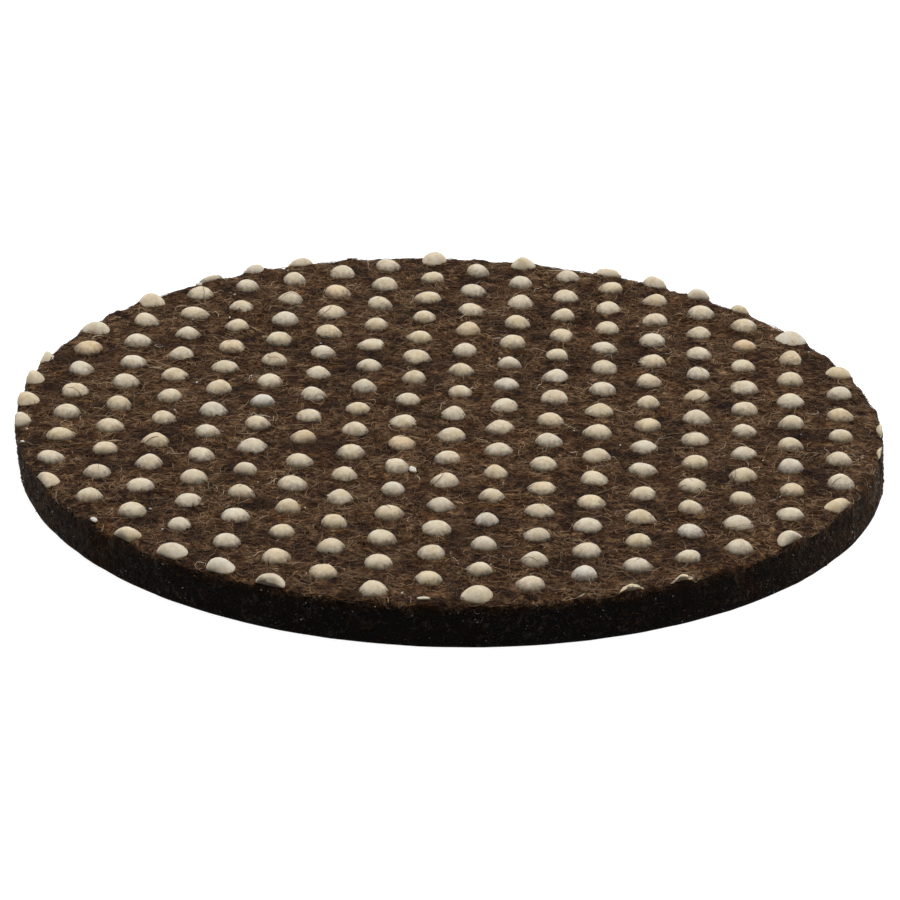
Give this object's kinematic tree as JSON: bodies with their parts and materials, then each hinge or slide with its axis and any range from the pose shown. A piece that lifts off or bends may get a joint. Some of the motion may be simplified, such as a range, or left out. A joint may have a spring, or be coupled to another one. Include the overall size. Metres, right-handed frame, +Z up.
{
  "type": "anti-slip pad",
  "caption": "Round felt disc with a flat underside and a staggered field of small latex grip nubs on its upper face, some cut through at the rim.",
  "frame": {"origin": "centre of the flat underside", "axes": "+Z up out of the nubbed face; +X to the right and +Y to the back, as the picture looks at the pad"},
  "size_m": [0.1, 0.1, 0.0063],
  "materials": {
    "felt": "matte needle felt, dark brown mixed fibres",
    "latex": "matte cream latex"
  },
  "bodies": {
    "root": {"felt_pad": "felt"}
  },
  "joints": []
}
